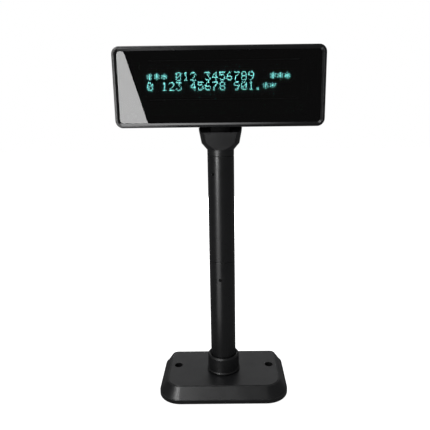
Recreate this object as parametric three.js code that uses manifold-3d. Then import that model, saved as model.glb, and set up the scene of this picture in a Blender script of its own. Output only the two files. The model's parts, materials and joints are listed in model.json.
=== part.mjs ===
// Customer pole display: a wide two-line display head that tilts on a yoke, the yoke swivels on a
// two-piece tube, and the tube stands on a low weighted base.
// Units are millimetres. +Z is up, the display faces -Y, and the origin is on the counter,
// under the pole's axis.
import * as THREE from 'three';
import { mergeVertices } from 'three/addons/utils/BufferGeometryUtils.js';
import Module from 'manifold-3d';

const wasm = await Module();
wasm.setup();

// ---------------------------------------------------------------- driving dimensions
const GAP = 0.25; // air left between pieces that touch
const RUNNING_GAP = 0.35; // air round a shaft that turns or a rod in its hole

const BASE_W = 153;
const BASE_D = 98;
const BASE_FRONT_CORNER = 27; // plan radius of the lip's front corners
const BASE_BACK_CORNER = 16;
const BASE_LIP_BOTTOM = 1.0;
const BASE_LIP_TOP = 5.8;
const BASE_TOP = 18;
const BASE_INSET = 9.4; // how far the sloping skirt steps in on each side
const BASE_LEDGE = 0.7; // flat ledge between the lip and the skirt
const BASE_WALL = 2.6;

const FOOT_R = 6;
const FOOT_H = 1.4;
const FOOT_X = 60;
const FOOT_Y = 33;
const PLATE_T = 4;
const PLATE_SCREW_X = 46;
const PLATE_SCREW_Y = 33;
const SCREW_WAY_R = 1.6; // way for a small screw's shank
const SCREW_SINK_R = 3.3; // recess for its head
const SCREW_SINK = 2;

const MOUNT_X = 56.8; // the two counterbored holes that fix the base to a counter
const MOUNT_Y = 6;
const MOUNT_HEAD_R = 5;
const MOUNT_HOLE_R = 2.4;
const MOUNT_HEAD_DEPTH = 7;

const CABLE_W = 11;
const CABLE_TOP = 9;
const CABLE_NOTCH_DEPTH = 9;
const WINDOW_HALF = 5; // the cable's way out of the tube's foot
const WINDOW_START = 6;
const WINDOW_TOP = 15;

const POLE_R = 15;
const POLE_BORE = 13;
const TUBE_CHAMFER = 0.4;
const POLE_JOINT_Z = 159.5; // seam between the two tubes
const POLE_TOP_Z = 281.2; // seam between the upper tube and the neck
const COUPLER_HALF = 29;
const SOCKET_TOP = 40;
const FLANGE_R = 27;
const FLANGE_T = 3;
const FLANGE_SCREW_CIRCLE = 21;
const SOCKET_BORE = 10;
const INSERT_WALL = 2.4;

const COLLAR_R = 19;
const COLLAR_TOP = 39.4;
const COLLAR_RIM_R = 20;
const COLLAR_RIM_T = 1.3;
const COLLAR_FOOT_R = 18.4; // undercut below the rim
const COLLAR_FOOT_H = 1.3;
const COLLAR_CHAMFER = 1.6;
const COLLAR_FUNNEL = 1.2;

const LOCK_R = 1.7;
const LOCK_UPPER = { z: 261.6, deg: -36 }; // turned about the pole from straight ahead
const LOCK_LOWER = { z: 138.7, deg: -9 };
const LOCK_REAR = { z: 180.5, deg: 180 };
const LOCK_SUNK = 0.8;
const LOCK_BITE = 3.0;
const LOCK_SOCKET = 1.2;

const NECK_STUB_BOTTOM = 250;
const NECK_BORE = 8.5;
const NECK_BORE_TOP = 287;
const NECK_WAY = { half: 5, front: 3.5, back: 13, low: 284 }; // cable way from the bore to the cradle
const NECK_FLAT_Y = 15; // flat facets at the front and the back, flush with the tube
const NECK_FRONT_TOP = 307.4;
const NECK_REAR_TOP = 299;
const NECK_SPAN = 30; // wider than the neck, for cuts right through it
const NECK_PROFILE = [[15, 281.55], [15, 288.3], [15.6, 289], [20, 294.4], [21.3, 295.8],
  [22.5, 302.6], [23.7, 309], [24, 313]];
const GROOVE_R = 10.8;
const GROOVE_HALF = 2.4;
const STOP_W = 4.4;
const WASHER_OUTER = 14.5; // thin ring between the tube and the neck
const WASHER_INNER = 13.15;
const WASHER_T = 1;

const TILT_Z = 299.4;
const EAR_R = 13.2;
const EAR_INNER = 12.3;
const KNUCKLE_R = 9.9;
const KNUCKLE_HALF = 10.8;
const KNUCKLE_FRONT = -8;
const KNUCKLE_BACK = 7;
const KNUCKLE_LIFT = 4.4; // from the cover's floor up to the knuckle's plate
const KNUCKLE_PLATE_HALF = 26;
const KNUCKLE_PLATE_T = 2.6;
const KNUCKLE_SCREW_X = 20;
const KNUCKLE_SCREW_Y = -0.5;
const TILT_WASHER_R = 9.4;
const CRADLE_FRONT = -12.4; // inner face of the neck's front wall
const CRADLE_R = 10.4;
const BOLT_R = 2.5;
const BOLT_SEAT = 15.6; // floor of the round recess in each ear
const BOLT_HEAD_R = 3.6;
const BOLT_HEAD_H = 2.4;
const SEAT_R = 4.2;
const LOCK_WASHER_T = 0.7;
const NUT_T = 2;
const CAP_X = 19.45; // inner face of the caps that close the recesses

const HOOD_HALF = 23.7; // plate under the head that hides the hinge from behind
const HOOD_FRONT = 13.2;
const HOOD_BACK = 15.2;
const HOOD_SLOPE = 32; // degrees above the axle, where its lower edge lies
const HOOD_PEG_R = 0.8;
const HOOD_PEG_X = 17;
const HOOD_PEG_H = 1.8;

const HEAD_W = 221.4;
const HEAD_BOTTOM = 313.2;
const HEAD_TOP = 395.6;
const HEAD_CORNER = 8;
const HEAD_FRONT = -22;
const HEAD_SEAM = -10;
const HEAD_BACK = 20;
const HEAD_WALL = 2.4;
const EDGE_ROUND = 1.2;
const BACK_TAPER = 7;

const RING_FLAT = 2.6; // flat front ring of the bezel
const RING_BEVEL = 2.0; // bevel down to the lens
const LENS_FRONT = -20.4;
const LENS_T = 2;
const LEDGE = 3.4;
const LENS_SEAT_T = 1.8;
const WINDOW_CORNER = 1.5;

const VFD_X = 4.6;
const VFD_W = 175;
const VFD_Z = 362;
const VFD_H = 38;
const VFD_FRONT = -15.2;
const GLASS_T = 2.6;
const SPACER_T = 2.4;
const SPACER_BAND = 3; // width of the frame between the two glasses
const LEAD_COUNT = 24;
const LEAD_PITCH = 6.6;
const LEAD_W = 0.8;
const LEAD_T = 0.7;
const STRIP_T = 1.1;
const STRIP_H = 2;

const BOARD_W = 184;
const BOARD_H = 56;
const BOARD_FRONT = -2.4;
const BOARD_T = 1.6;
const BOARD_POST_X = 84;
const BOARD_POST_Z = 22;
const CASE_POST_X = 98.8;
const CASE_POST_Z = 29.5;
const POST_R = 4;
const POST_BORE = 1.5;
const CASE_WAY_R = 1.8;
const CASE_SINK_R = 3.2;
const CASE_SINK_Y = 8;
const NECK_HOLE = { half: 11.3, front: -8.6, back: 13, height: 3.5 };

const VENT_COUNT = 7;
const VENT_PITCH = 5;
const VENT_W = 2.2;
const VENT_H = 22;
const VENT_X = 52;

const ROUND_STEPS = 28;
const SMALL_STEPS = 10;
const CAP_STEPS = 16;
const CORNER_STEPS = 5;

const HEAD_H = HEAD_TOP - HEAD_BOTTOM;
const HEAD_MID = (HEAD_TOP + HEAD_BOTTOM) / 2;
const PLATE_BOTTOM = FOOT_H + GAP;
const PLATE_TOP = PLATE_BOTTOM + PLATE_T;
const FLANGE_BOTTOM = PLATE_TOP + GAP;
const FLANGE_TOP = FLANGE_BOTTOM + FLANGE_T;
const INSERT_R = POLE_BORE - RUNNING_GAP;
const PLATE_SCREW_Z = PLATE_BOTTOM + SCREW_SINK - GAP;
const KNUCKLE_PLATE_LOW = HEAD_BOTTOM + HEAD_WALL + KNUCKLE_LIFT;
const KNUCKLE_PLATE_TOP = KNUCKLE_PLATE_LOW + KNUCKLE_PLATE_T;

// ---------------------------------------------------------------- materials
function material(color, roughness, metalness) {
  return new THREE.MeshStandardMaterial({ color, roughness, metalness });
}

const SATIN_BLACK = material('#17181a', 0.42, 0.0);
const MATTE_BLACK = material('#131415', 0.6, 0.0);
const LENS_BLACK = material('#07090a', 0.06, 0.0);
const RUBBER_BLACK = material('#0d0d0d', 0.9, 0.0);
const CLEAR_GLASS = material('#9fb4b0', 0.05, 0.0);
const BOARD_GREEN = material('#1c5a34', 0.5, 0.0);
const CHIP_BLACK = material('#101010', 0.5, 0.0);
const STEEL = material('#9a9c9e', 0.35, 1.0);
const DARK_STEEL = material('#2c2d2f', 0.4, 1.0);
const NYLON = material('#202123', 0.55, 0.0);
const CAN_BLUE = material('#22304a', 0.35, 0.2);
const WINDING = material('#b5742e', 0.45, 0.6);

// ---------------------------------------------------------------- solid helpers
function solidOf(geometry) {
  const bare = geometry.clone();
  bare.deleteAttribute('normal');
  bare.deleteAttribute('uv');
  const merged = mergeVertices(bare, 1e-5);
  return new wasm.Manifold(new wasm.Mesh({
    numProp: 3,
    vertProperties: new Float32Array(merged.attributes.position.array),
    triVerts: new Uint32Array(merged.index.array),
  }));
}

function geometryOf(solid) {
  const mesh = solid.getMesh();
  const geometry = new THREE.BufferGeometry();
  geometry.setAttribute('position', new THREE.BufferAttribute(mesh.vertProperties, 3));
  geometry.setIndex(new THREE.BufferAttribute(mesh.triVerts, 1));
  geometry.computeVertexNormals();
  return geometry;
}

function join(...solids) {
  return solids.reduce((whole, next) => whole.add(next));
}

function cut(solid, ...tools) {
  return tools.reduce((rest, tool) => rest.subtract(tool), solid);
}

// A rounded rectangle; its two lower corners and its two upper corners can differ.
function roundedRect(width, height, lower, upper = lower) {
  const shape = new THREE.Shape();
  shape.absarc(width / 2 - lower, lower - height / 2, lower, -Math.PI / 2, 0);
  shape.absarc(width / 2 - upper, height / 2 - upper, upper, 0, Math.PI / 2);
  shape.absarc(upper - width / 2, height / 2 - upper, upper, Math.PI / 2, Math.PI);
  shape.absarc(lower - width / 2, lower - height / 2, lower, Math.PI, 1.5 * Math.PI);
  return shape;
}

function polygon(points) {
  return new THREE.Shape(points.map(([x, y]) => new THREE.Vector2(x, y)));
}

// A shape in the XY plane, extruded from z0 to z1.
function slabZ(shape, z0, z1) {
  const geometry = new THREE.ExtrudeGeometry(shape, {
    depth: z1 - z0, bevelEnabled: false, curveSegments: CORNER_STEPS,
  });
  return solidOf(geometry.translate(0, 0, z0));
}

// A shape in the XZ plane, extruded from y0 to y1.
function slabY(shape, y0, y1) {
  const geometry = new THREE.ExtrudeGeometry(shape, {
    depth: y1 - y0, bevelEnabled: false, curveSegments: CORNER_STEPS,
  });
  return solidOf(geometry.rotateX(Math.PI / 2).translate(0, y1, 0));
}

// A shape in the YZ plane, extruded from -half to +half along X.
function slabX(shape, half) {
  const geometry = new THREE.ExtrudeGeometry(shape, {
    depth: 2 * half, bevelEnabled: false, curveSegments: ROUND_STEPS / 2,
  });
  geometry.rotateX(Math.PI / 2).rotateZ(Math.PI / 2);
  return solidOf(geometry.translate(-half, 0, 0));
}

function box(x0, x1, y0, y1, z0, z1) {
  const geometry = new THREE.BoxGeometry(x1 - x0, y1 - y0, z1 - z0);
  return solidOf(geometry.translate((x0 + x1) / 2, (y0 + y1) / 2, (z0 + z1) / 2));
}

// A solid turned about Z from [radius, z] points that start and end on the axis.
function turned(points, steps = ROUND_STEPS) {
  const profile = points.map(([radius, z]) => new THREE.Vector2(radius, z));
  return solidOf(new THREE.LatheGeometry(profile, steps).rotateX(Math.PI / 2));
}

function rodZ(radius, z0, z1, x = 0, y = 0, steps = SMALL_STEPS) {
  return turned([[0, z0], [radius, z0], [radius, z1], [0, z1]], steps).translate([x, y, 0]);
}

function rodY(radius, y0, y1, x, z, steps = SMALL_STEPS) {
  return rodZ(radius, -y1, -y0, 0, 0, steps).rotate([90, 0, 0]).translate([x, 0, z]);
}

function rodX(radius, x0, x1, y, z, steps = SMALL_STEPS) {
  return rodZ(radius, x0, x1, 0, 0, steps).rotate([0, 90, 0]).translate([0, y, z]);
}

function ringZ(outer, inner, z0, z1, steps = ROUND_STEPS) {
  return cut(rodZ(outer, z0, z1, 0, 0, steps), rodZ(inner, z0 - 1, z1 + 1, 0, 0, steps));
}

// The base's outline, moved in by an inset on all sides.
function basePlan(inset) {
  return roundedRect(BASE_W - 2 * inset, BASE_D - 2 * inset,
    BASE_FRONT_CORNER - inset, BASE_BACK_CORNER - inset);
}

// The base's outline with sides that slope in between zLow and zTop, cut flat at zLow.
function slopingBase(insetLow, insetTop, zLow, zTop) {
  const geometry = new THREE.ExtrudeGeometry(basePlan(insetTop), {
    depth: 1, bevelThickness: zTop - zLow, bevelSize: insetTop - insetLow, bevelSegments: 1,
    curveSegments: CORNER_STEPS,
  });
  const whole = solidOf(geometry.translate(0, 0, zLow - 1));
  return whole.intersect(box(-BASE_W, BASE_W, -BASE_D, BASE_D, zLow, zTop + 1));
}

// A rounded box in the XZ plane whose face at yFace has a rounded edge, cut flat at yCut.
function roundedEdgeSlab(width, height, corner, edge, segments, yFace, yCut) {
  const toFront = yFace < yCut;
  const face = roundedRect(width - 2 * edge, height - 2 * edge, corner - edge);
  const run = Math.abs(yCut - yFace);
  const geometry = new THREE.ExtrudeGeometry(face, {
    depth: run, bevelThickness: edge, bevelSize: edge, bevelSegments: segments,
    curveSegments: CORNER_STEPS,
  });
  geometry.rotateX(Math.PI / 2).translate(0, toFront ? yFace + edge + run : yFace - edge, HEAD_MID);
  const keep = toFront ? [yFace - 1, yCut] : [yCut, yFace + 1];
  return solidOf(geometry).intersect(box(-width, width, ...keep, HEAD_MID - height, HEAD_MID + height));
}

// A screw along Z: its head sits on z = 0 and its shank goes down.
function screw(headR, headH, shankR, length) {
  const socketR = headR * 0.42;
  const socketFloor = headH * 0.45;
  return turned([[0, -length], [shankR, -length], [shankR, 0], [headR, 0], [headR, headH * 0.7],
    [headR * 0.8, headH], [socketR, headH], [socketR, socketFloor], [0, socketFloor]], SMALL_STEPS);
}

// Turns a solid that points along +X so that it points out of the pole at deg from the front.
function aroundPole(solid, { z, deg }) {
  return solid.rotate([0, 0, deg - 90]).translate([0, 0, z]);
}

// ---------------------------------------------------------------- base
function cableNotch(depth) {
  return box(-CABLE_W / 2, CABLE_W / 2, BASE_D / 2 - depth, BASE_D, -1, CABLE_TOP);
}

function eachCorner(x, y) {
  return [[-x, -y], [x, -y], [x, y], [-x, y]];
}

function baseHousing() {
  const lip = slabZ(basePlan(0), BASE_LIP_BOTTOM, BASE_LIP_TOP);
  const skirt = slopingBase(BASE_LEDGE, BASE_INSET, BASE_LIP_TOP - GAP, BASE_TOP);
  const inner = slopingBase(BASE_WALL, BASE_INSET + BASE_WALL, 0, BASE_TOP - BASE_WALL);
  const innerLip = slabZ(basePlan(BASE_WALL), 0, PLATE_TOP + GAP);
  const bosses = eachCorner(PLATE_SCREW_X, PLATE_SCREW_Y).map(
    ([x, y]) => rodZ(POST_R, PLATE_TOP + GAP, BASE_TOP - BASE_WALL / 2, x, y));
  const pilots = eachCorner(PLATE_SCREW_X, PLATE_SCREW_Y).map(
    ([x, y]) => rodZ(POST_BORE, 0, BASE_TOP - BASE_WALL - 1, x, y));
  const wells = [-MOUNT_X, MOUNT_X].map(
    (x) => rodZ(MOUNT_HEAD_R + 2, PLATE_TOP + GAP, BASE_TOP - BASE_WALL / 2, x, MOUNT_Y, ROUND_STEPS / 2));
  const holes = [-MOUNT_X, MOUNT_X].flatMap((x) => [
    rodZ(MOUNT_HOLE_R, 0, BASE_TOP, x, MOUNT_Y),
    rodZ(MOUNT_HEAD_R, BASE_TOP - MOUNT_HEAD_DEPTH, BASE_TOP + 1, x, MOUNT_Y, ROUND_STEPS / 2),
  ]);
  const shell = cut(join(lip, skirt), inner, innerLip);
  const poleWay = rodZ(POLE_R + RUNNING_GAP, 0, BASE_TOP + 1, 0, 0, ROUND_STEPS);
  return cut(join(shell, ...bosses, ...wells), ...pilots, ...holes, poleWay,
    cableNotch(BASE_INSET + BASE_WALL + 1));
}

function basePlate() {
  const plate = slabZ(basePlan(BASE_WALL + GAP), PLATE_BOTTOM, PLATE_TOP);
  const mounts = [-MOUNT_X, MOUNT_X].map((x) => rodZ(MOUNT_HOLE_R, 0, PLATE_TOP + 1, x, MOUNT_Y));
  const places = [...eachCorner(PLATE_SCREW_X, PLATE_SCREW_Y), ...flangeScrewPlaces()];
  const screws = places.flatMap(([x, y]) => [
    rodZ(SCREW_WAY_R, 0, PLATE_TOP + 1, x, y),
    rodZ(SCREW_SINK_R, 0, PLATE_BOTTOM + SCREW_SINK, x, y),
  ]);
  return cut(plate, ...mounts, ...screws, cableNotch(CABLE_NOTCH_DEPTH + BASE_WALL));
}

function flangeScrewPlaces() {
  return [90, 210, 330].map((deg) => {
    const angle = THREE.MathUtils.degToRad(deg);
    return [FLANGE_SCREW_CIRCLE * Math.cos(angle), -FLANGE_SCREW_CIRCLE * Math.sin(angle)];
  });
}

function poleSocket() {
  const body = turned([[SOCKET_BORE, FLANGE_BOTTOM], [FLANGE_R, FLANGE_BOTTOM], [FLANGE_R, FLANGE_TOP],
    [INSERT_R, FLANGE_TOP], [INSERT_R, SOCKET_TOP], [SOCKET_BORE, SOCKET_TOP],
    [SOCKET_BORE, FLANGE_BOTTOM]]);
  const pilots = flangeScrewPlaces().map(([x, y]) => rodZ(POST_BORE, 0, FLANGE_TOP + 1, x, y));
  return cut(body, ...pilots, cableWindow());
}

// The way for the cable from inside the pole to the base's rear.
function cableWindow() {
  return box(-WINDOW_HALF, WINDOW_HALF, WINDOW_START, POLE_R + 1, FLANGE_TOP, WINDOW_TOP);
}

function baseCollar() {
  const low = BASE_TOP + GAP;
  const bore = POLE_R + GAP;
  const rim = low + COLLAR_FOOT_H;
  return turned([[bore, low], [COLLAR_FOOT_R, low], [COLLAR_FOOT_R, rim], [COLLAR_RIM_R, rim],
    [COLLAR_RIM_R, rim + COLLAR_RIM_T * 0.6], [COLLAR_R, rim + COLLAR_RIM_T],
    [COLLAR_R, COLLAR_TOP - COLLAR_CHAMFER], [COLLAR_R - COLLAR_CHAMFER, COLLAR_TOP],
    [bore + COLLAR_FUNNEL, COLLAR_TOP],
    [bore, COLLAR_TOP - COLLAR_CHAMFER], [bore, low]]);
}

// ---------------------------------------------------------------- pole
function poleTube(z0, z1, ...locks) {
  const tube = turned([[POLE_BORE, z0], [POLE_R - TUBE_CHAMFER, z0], [POLE_R, z0 + TUBE_CHAMFER],
    [POLE_R, z1 - TUBE_CHAMFER], [POLE_R - TUBE_CHAMFER, z1], [POLE_BORE, z1], [POLE_BORE, z0]]);
  return cut(tube, ...locks.map((lock) => lockHole(lock)));
}

function lockHole(lock) {
  return aroundPole(rodX(LOCK_R + GAP, POLE_BORE - INSERT_WALL - 1, POLE_R + 1, 0, 0), lock);
}

// A socket set screw, sunk below the tube's surface.
function lockScrew(lock) {
  const outer = POLE_R - LOCK_SUNK;
  const body = rodX(LOCK_R, outer - LOCK_BITE, outer, 0, 0);
  const socket = rodX(LOCK_R / 2, outer - LOCK_SOCKET, outer + 1, 0, 0, 6);
  return aroundPole(cut(body, socket), lock);
}

function poleCoupler() {
  const inner = INSERT_R - INSERT_WALL;
  const sleeve = ringZ(INSERT_R, inner, POLE_JOINT_Z - COUPLER_HALF, POLE_JOINT_Z + COUPLER_HALF);
  return cut(sleeve, lockHole(LOCK_LOWER), lockHole(LOCK_REAR));
}

// ---------------------------------------------------------------- neck
function earProfile() {
  const shape = new THREE.Shape();
  shape.moveTo(NECK_FLAT_Y, NECK_STUB_BOTTOM);
  shape.lineTo(NECK_FLAT_Y, NECK_REAR_TOP);
  shape.lineTo(EAR_R, NECK_REAR_TOP);
  shape.absarc(0, TILT_Z, EAR_R, 0, Math.PI - Math.asin((NECK_FRONT_TOP - TILT_Z) / EAR_R));
  shape.lineTo(-NECK_FLAT_Y, NECK_FRONT_TOP);
  shape.lineTo(-NECK_FLAT_Y, NECK_STUB_BOTTOM);
  return shape;
}

function swivelGroove() {
  const ring = ringZ(INSERT_R + 1, GROOVE_R, LOCK_UPPER.z - GROOVE_HALF, LOCK_UPPER.z + GROOVE_HALF);
  const stop = box(0, INSERT_R + 2, -STOP_W / 2, STOP_W / 2, -GROOVE_HALF - 1, GROOVE_HALF + 1);
  return cut(ring, aroundPole(stop, { z: LOCK_UPPER.z, deg: LOCK_UPPER.deg + 180 }));
}

function neckBell() {
  return turned([[0, NECK_PROFILE[0][1]], ...NECK_PROFILE, [0, NECK_PROFILE.at(-1)[1]]]);
}

function neckYoke() {
  const shaped = neckBell().intersect(slabX(earProfile(), NECK_SPAN));
  const stub = rodZ(INSERT_R, NECK_STUB_BOTTOM, NECK_PROFILE[0][1] + 1, 0, 0, ROUND_STEPS);
  const cradle = join(
    rodX(CRADLE_R, -EAR_INNER, EAR_INNER, 0, TILT_Z, ROUND_STEPS),
    box(-EAR_INNER, EAR_INNER, CRADLE_FRONT, NECK_SPAN, TILT_Z, TILT_Z + NECK_SPAN),
  );
  const boltHole = rodX(BOLT_R + RUNNING_GAP, -NECK_SPAN, NECK_SPAN, 0, TILT_Z);
  const seats = [[-NECK_SPAN, -BOLT_SEAT], [BOLT_SEAT, NECK_SPAN]].map(
    ([x0, x1]) => rodX(SEAT_R, x0, x1, 0, TILT_Z, CAP_STEPS));
  const bore = rodZ(NECK_BORE, NECK_STUB_BOTTOM - 1, NECK_BORE_TOP, 0, 0, ROUND_STEPS / 2);
  const way = box(-NECK_WAY.half, NECK_WAY.half, NECK_WAY.front, NECK_WAY.back, NECK_WAY.low, TILT_Z + 1);
  const washerSeat = ringZ(WASHER_OUTER + GAP, WASHER_INNER - GAP, NECK_PROFILE[0][1] - 1,
    NECK_PROFILE[0][1] + WASHER_T);
  return cut(join(shaped, stub), cradle, boltHole, ...seats, swivelGroove(), bore, way, washerSeat);
}

function tiltKnuckle() {
  const barrel = rodX(KNUCKLE_R, -KNUCKLE_HALF, KNUCKLE_HALF, 0, TILT_Z, ROUND_STEPS);
  const web = box(-KNUCKLE_HALF, KNUCKLE_HALF, KNUCKLE_FRONT, KNUCKLE_BACK, TILT_Z, KNUCKLE_PLATE_LOW + 1);
  const plate = box(-KNUCKLE_PLATE_HALF, KNUCKLE_PLATE_HALF, KNUCKLE_FRONT, KNUCKLE_BACK,
    KNUCKLE_PLATE_LOW, KNUCKLE_PLATE_TOP);
  const holes = [-KNUCKLE_SCREW_X, KNUCKLE_SCREW_X].map(
    (x) => rodZ(SCREW_WAY_R, KNUCKLE_PLATE_LOW - 1, KNUCKLE_PLATE_TOP + 1, x, KNUCKLE_SCREW_Y));
  const boltWay = rodX(BOLT_R + RUNNING_GAP, -NECK_SPAN, NECK_SPAN, 0, TILT_Z);
  return cut(join(barrel, web, plate), ...holes, boltWay);
}

function tiltBolt() {
  const head = rodX(BOLT_HEAD_R, -BOLT_SEAT - GAP - BOLT_HEAD_H, -BOLT_SEAT - GAP, 0, TILT_Z, CAP_STEPS);
  const shank = rodX(BOLT_R, -BOLT_SEAT - 1, CAP_X - GAP, 0, TILT_Z);
  const socket = rodX(BOLT_R / 2, -NECK_SPAN, -BOLT_SEAT - 1.5, 0, TILT_Z, 6);
  return cut(join(head, shank), socket);
}

function tiltNut() {
  const start = BOLT_SEAT + LOCK_WASHER_T + 2 * GAP;
  return cut(rodX(BOLT_HEAD_R + GAP, start, start + NUT_T, 0, TILT_Z, 6),
    rodX(BOLT_R + GAP, 0, NECK_SPAN, 0, TILT_Z));
}

// A round plug, flush with the neck, over the bolt's head or its nut.
function boltCap(side) {
  const ends = side < 0 ? [-NECK_SPAN, -CAP_X] : [CAP_X, NECK_SPAN];
  return neckBell().intersect(rodX(SEAT_R - GAP, ...ends, 0, TILT_Z, CAP_STEPS));
}

// A plate under the head, behind the ears, whose lower edge is radial to the tilt axis.
function hingeHood() {
  const rise = Math.tan(THREE.MathUtils.degToRad(HOOD_SLOPE));
  const top = HEAD_BOTTOM - GAP;
  const side = polygon([[HOOD_FRONT, TILT_Z + HOOD_FRONT * rise], [HOOD_BACK, TILT_Z + HOOD_BACK * rise],
    [HOOD_BACK, top], [HOOD_FRONT, top]]);
  const pegs = hoodPegs(HOOD_PEG_R, top - 1, HEAD_BOTTOM + HOOD_PEG_H);
  return join(slabX(side, HOOD_HALF), ...pegs);
}

function hoodPegs(radius, z0, z1) {
  return [-HOOD_PEG_X, HOOD_PEG_X].map((x) => rodZ(radius, z0, z1, x, (HOOD_FRONT + HOOD_BACK) / 2));
}

function washerX(outer, x0, x1) {
  return cut(rodX(outer, x0, x1, 0, TILT_Z, CAP_STEPS),
    rodX(BOLT_R + RUNNING_GAP, x0 - 1, x1 + 1, 0, TILT_Z));
}

// ---------------------------------------------------------------- head
function headPosts() {
  return eachCorner(CASE_POST_X, CASE_POST_Z).map(([x, z]) => [x, HEAD_MID + z]);
}

function frontBezel() {
  const ring = RING_FLAT + RING_BEVEL;
  const body = roundedEdgeSlab(HEAD_W, HEAD_H, HEAD_CORNER, EDGE_ROUND, 3, HEAD_FRONT, HEAD_SEAM);
  const lensW = HEAD_W - 2 * ring;
  const lensH = HEAD_H - 2 * ring;
  const lensCorner = HEAD_CORNER - ring + 0.6;
  const pocket = slabY(roundedRect(lensW, lensH, lensCorner), HEAD_FRONT - 1, LENS_FRONT + LENS_T + GAP);
  const opening = slabY(roundedRect(lensW - 2 * LEDGE, lensH - 2 * LEDGE, WINDOW_CORNER), HEAD_FRONT - 1, 0);
  const hollowStart = LENS_FRONT + LENS_T + GAP + LENS_SEAT_T;
  const hollow = slabY(roundedRect(HEAD_W - 2 * HEAD_WALL, HEAD_H - 2 * HEAD_WALL,
    HEAD_CORNER - HEAD_WALL), hollowStart, 0);
  const posts = headPosts().map(([x, z]) => rodY(POST_R, hollowStart - 1, HEAD_SEAM, x, z - HEAD_MID));
  const pilots = headPosts().map(([x, z]) => rodY(POST_BORE, hollowStart - 0.5, 0, x, z - HEAD_MID));
  const bevel = bezelBevel(lensW, lensH, lensCorner);
  const shell = cut(body.translate([0, 0, -HEAD_MID]), pocket, opening, hollow, bevel);
  return onHead(cut(join(shell, ...posts), ...pilots));
}

// The sloping inner edge of the bezel, as the wedge that is cut away.
function bezelBevel(lensW, lensH, lensCorner) {
  const depth = LENS_FRONT - HEAD_FRONT;
  const geometry = new THREE.ExtrudeGeometry(roundedRect(lensW, lensH, lensCorner), {
    depth: 1, bevelThickness: depth, bevelSize: RING_BEVEL, bevelSegments: 1,
    curveSegments: CORNER_STEPS,
  });
  return solidOf(geometry.rotateX(Math.PI / 2).translate(0, HEAD_FRONT, 0));
}

function onHead(solid) {
  return solid.translate([0, 0, HEAD_MID]);
}

function displayLens() {
  const inset = RING_FLAT + RING_BEVEL + GAP;
  return onHead(slabY(roundedRect(HEAD_W - 2 * inset, HEAD_H - 2 * inset, HEAD_CORNER - inset + 0.6),
    LENS_FRONT, LENS_FRONT + LENS_T));
}

function rearCover() {
  const start = HEAD_SEAM + GAP;
  const body = roundedEdgeSlab(HEAD_W, HEAD_H, HEAD_CORNER, BACK_TAPER, 4, HEAD_BACK, start);
  const hollow = roundedEdgeSlab(HEAD_W - 2 * HEAD_WALL, HEAD_H - 2 * HEAD_WALL, HEAD_CORNER - 0.8,
    BACK_TAPER - 1, 2, HEAD_BACK - HEAD_WALL, start - 1);
  const back = HEAD_BACK - HEAD_WALL - 0.4;
  const casePosts = headPosts().map(([x, z]) => rodY(POST_R, start, back + 1, x, z));
  const caseHoles = headPosts().flatMap(([x, z]) => [
    rodY(CASE_WAY_R, start - 1, HEAD_BACK + 1, x, z),
    rodY(CASE_SINK_R, CASE_SINK_Y, HEAD_BACK + 1, x, z),
  ]);
  const boardPosts = boardPlaces().map(
    ([x, z]) => rodY(POST_R - 0.6, BOARD_FRONT + BOARD_T + GAP, back + 1, x, z));
  const boardPilots = boardPlaces().map(([x, z]) => rodY(POST_BORE, start, back - POST_R, x, z));
  const bossTop = KNUCKLE_PLATE_LOW - RUNNING_GAP;
  const bosses = [-KNUCKLE_SCREW_X, KNUCKLE_SCREW_X].map(
    (x) => rodZ(POST_R - 0.6, HEAD_BOTTOM + 1, bossTop, x, KNUCKLE_SCREW_Y));
  const bossPilots = [-KNUCKLE_SCREW_X, KNUCKLE_SCREW_X].map(
    (x) => rodZ(POST_BORE, HEAD_BOTTOM + 1, bossTop + 1, x, KNUCKLE_SCREW_Y));
  const neckHole = box(-NECK_HOLE.half, NECK_HOLE.half, NECK_HOLE.front, NECK_HOLE.back,
    HEAD_BOTTOM - 1, HEAD_BOTTOM + NECK_HOLE.height);
  const shell = cut(body, hollow, ...ventSlots(), neckHole);
  return cut(join(shell, ...casePosts, ...boardPosts, ...bosses),
    ...caseHoles, ...boardPilots, ...bossPilots,
    ...hoodPegs(HOOD_PEG_R + GAP, HEAD_BOTTOM - 1, HEAD_BOTTOM + HOOD_PEG_H + GAP));
}

function ventSlots() {
  const slots = [];
  for (const side of [-1, 1]) {
    for (let i = 0; i < VENT_COUNT; i += 1) {
      const x = side * VENT_X + (i - (VENT_COUNT - 1) / 2) * VENT_PITCH;
      slots.push(box(x - VENT_W / 2, x + VENT_W / 2, 10, HEAD_BACK + 1,
        HEAD_MID - VENT_H / 2, HEAD_MID + VENT_H / 2));
    }
  }
  return slots;
}

function vfdPane(yFront) {
  const pane = box(-VFD_W / 2, VFD_W / 2, yFront, yFront + GLASS_T, -VFD_H / 2, VFD_H / 2);
  return pane.translate([VFD_X, 0, VFD_Z]);
}

function vfdSpacer() {
  const y0 = VFD_FRONT + GLASS_T + GAP;
  const x = VFD_W / 2 - 1;
  const z = VFD_H / 2 - 1;
  const outer = box(-x, x, y0, y0 + SPACER_T, -z, z);
  const inner = box(SPACER_BAND - x, x - SPACER_BAND, y0 - 1, y0 + SPACER_T + 1,
    SPACER_BAND - z, z - SPACER_BAND);
  return cut(outer, inner).translate([VFD_X, 0, VFD_Z]);
}

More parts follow.
